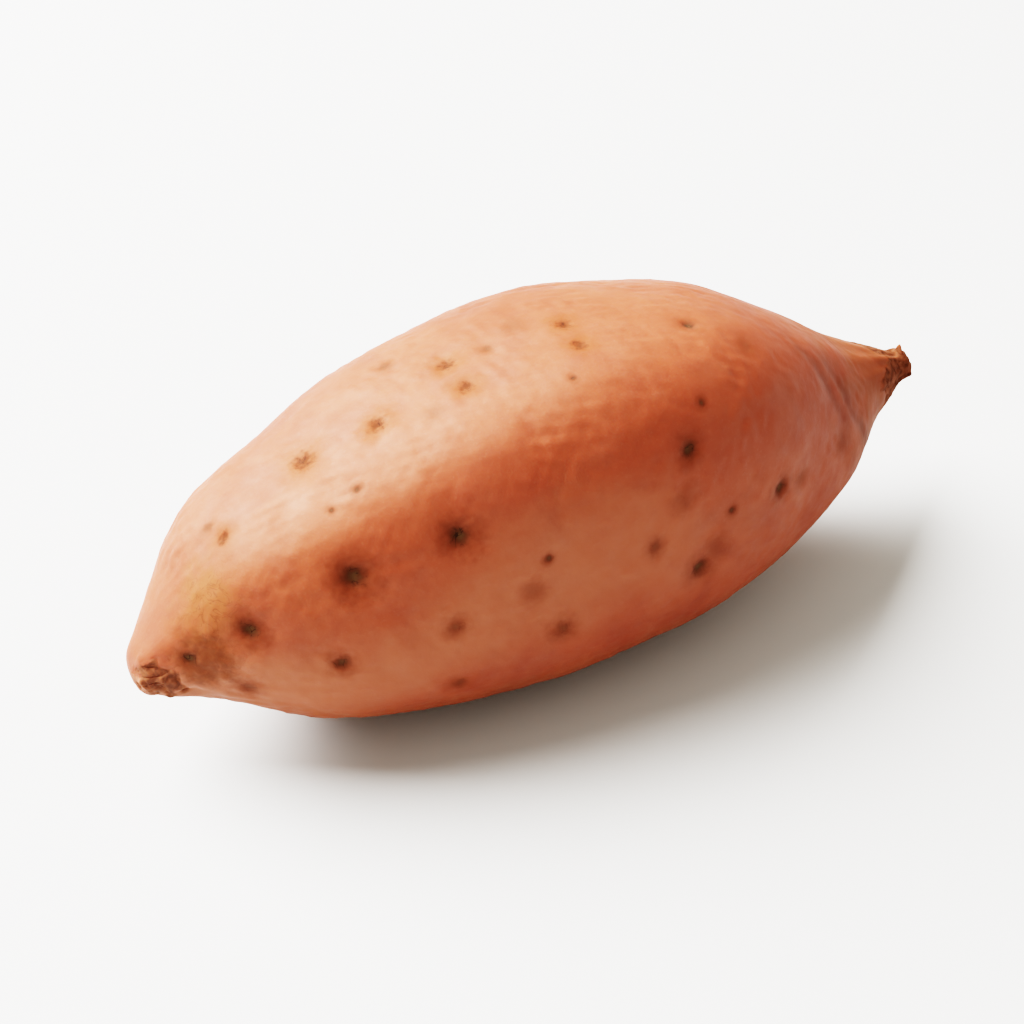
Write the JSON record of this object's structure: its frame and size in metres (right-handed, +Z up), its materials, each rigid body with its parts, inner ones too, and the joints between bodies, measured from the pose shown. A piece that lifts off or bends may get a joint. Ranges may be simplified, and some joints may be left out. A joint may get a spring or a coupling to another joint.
{
  "type": "sweet potato",
  "caption": "Whole raw sweet potato: a spindle-shaped root with a blunt scarred nose and a drawn-out crown ending in a broken stub, lying on its belly.",
  "frame": {"origin": "centre of the bounding box's base, on the surface the root lies on", "axes": "+Z up; +X along the root from the blunt nose to the crown's broken stub; -Y is the front, where the shoulder and most of the large eyes are"},
  "size_m": [0.167, 0.0664, 0.066],
  "materials": {
    "skin": "thin, slightly waxy orange-salmon skin with a soft sheen, brown corky scars at both ends and round the eyes"
  },
  "bodies": {
    "root": {"sweet_potato": "skin"}
  },
  "joints": []
}
